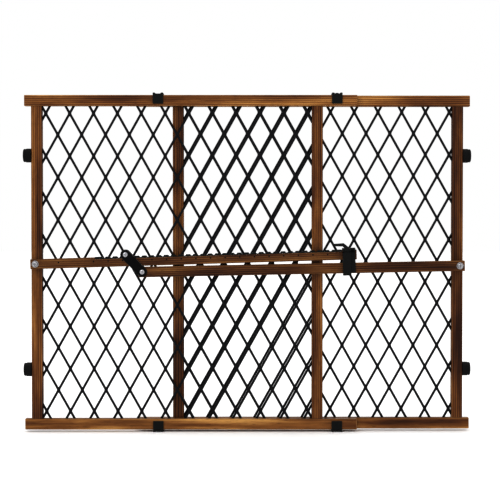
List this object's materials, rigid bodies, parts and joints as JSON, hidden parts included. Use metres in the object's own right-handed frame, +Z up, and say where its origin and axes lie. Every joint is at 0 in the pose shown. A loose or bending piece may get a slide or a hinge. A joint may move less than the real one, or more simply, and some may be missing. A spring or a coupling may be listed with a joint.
{
  "type": "pressure-mounted safety gate",
  "caption": "Expanding pressure-mounted safety gate: two sliding wooden frames with black diamond mesh, rubber feet, and a notched bar, lever bar, link and latch that press it into a doorway.",
  "frame": {"origin": "under the middle of the gate as it is set at rest, at the height of the lowest saddle clip's ears", "axes": "+X along the gate, towards the rear panel's rubber feet; +Y through the gate, from the side with the latch to the back; +Z up"},
  "size_m": [0.782, 0.0548, 0.592],
  "materials": {
    "walnut_frame": "satin walnut stain",
    "walnut_bars": "satin walnut stain",
    "mesh_plastic": "moulded black",
    "black_plastic": "fine moulded texture",
    "foot_rubber": "matt",
    "black_steel": "black oxide",
    "zinc_steel": "bright zinc plate"
  },
  "bodies": {
    "front_panel": {"front_outer_stile": "walnut_frame", "front_inner_stile": "walnut_frame", "front_mesh": "mesh_plastic", "front_top_rail": "walnut_frame", "front_top_outer_screw": "zinc_steel", "front_top_inner_screw": "zinc_steel", "front_top_clip": "black_plastic", "front_top_clip_screw": "black_steel", "front_top_bumper": "foot_rubber", "front_top_bumper_stud": "zinc_steel", "front_bottom_rail": "walnut_frame", "front_bottom_outer_screw": "zinc_steel", "front_bottom_inner_screw": "zinc_steel", "front_bottom_clip": "black_plastic", "front_bottom_clip_screw": "black_steel", "front_bottom_bumper": "foot_rubber", "front_bottom_bumper_stud": "zinc_steel", "notched_bar_bolt": "zinc_steel", "notched_bar_washer": "zinc_steel", "notched_bar_spacer": "zinc_steel", "notched_bar_nut": "zinc_steel"},
    "rear_panel": {"rear_outer_stile": "walnut_frame", "rear_inner_stile": "walnut_frame", "rear_mesh": "mesh_plastic", "rear_top_rail": "walnut_frame", "rear_top_outer_screw": "zinc_steel", "rear_top_inner_screw": "zinc_steel", "rear_top_clip": "black_plastic", "rear_top_clip_screw": "black_steel", "rear_top_bumper": "foot_rubber", "rear_top_bumper_stud": "zinc_steel", "rear_bottom_rail": "walnut_frame", "rear_bottom_outer_screw": "zinc_steel", "rear_bottom_inner_screw": "zinc_steel", "rear_bottom_clip": "black_plastic", "rear_bottom_clip_screw": "black_steel", "rear_bottom_bumper": "foot_rubber", "rear_bottom_bumper_stud": "zinc_steel", "lever_spacer_block": "walnut_frame", "lever_bolt": "zinc_steel", "lever_washer": "zinc_steel", "lever_nut": "zinc_steel"},
    "notched_bar": {"notched_bar": "walnut_bars", "notch_rack": "black_plastic", "latch_housing": "black_plastic", "latch_hinge_pin": "zinc_steel", "latch_spring": "zinc_steel", "housing_screw_1": "zinc_steel", "housing_screw_2": "zinc_steel"},
    "lever_bar": {"lever_bar": "walnut_bars"},
    "link": {"link_front_strap": "black_steel", "link_rear_strap": "black_steel", "link_rivet": "zinc_steel", "link_pin": "zinc_steel"},
    "latch_hook": {"latch_hook": "black_plastic"}
  },
  "joints": [
    {"name": "panel_slide", "type": "slide", "parent": "front_panel", "child": "rear_panel", "axis": [1, 0, 0], "range_m": [-0.122, 0.285]},
    {"name": "notched_bar_swing", "type": "hinge", "parent": "front_panel", "child": "notched_bar", "pos_m": [-0.3685, -0.01405, 0.294], "axis": [0, 1, 0], "range_deg": [-0.08, 0.18]},
    {"name": "lever_bar_swing", "type": "hinge", "parent": "rear_panel", "child": "lever_bar", "pos_m": [0.3685, -0.01405, 0.291], "axis": [0, 1, 0], "range_deg": [-0.38, 0.86]},
    {"name": "link_swing", "type": "hinge", "parent": "lever_bar", "child": "link", "pos_m": [-0.1829, -0.01405, 0.28027], "axis": [0, 1, 0], "range_deg": [0, 75]},
    {"name": "hook_swing", "type": "hinge", "parent": "notched_bar", "child": "latch_hook", "pos_m": [0.17152, -0.0245, 0.31821], "axis": [-0.9996, 0, -0.03], "range_deg": [0, 30]}
  ],
  "couplings": [
    {"joint": "notched_bar_swing", "follows": "panel_slide", "rad_per_m": 0.01},
    {"joint": "lever_bar_swing", "follows": "panel_slide", "rad_per_m": 0.0517}
  ]
}
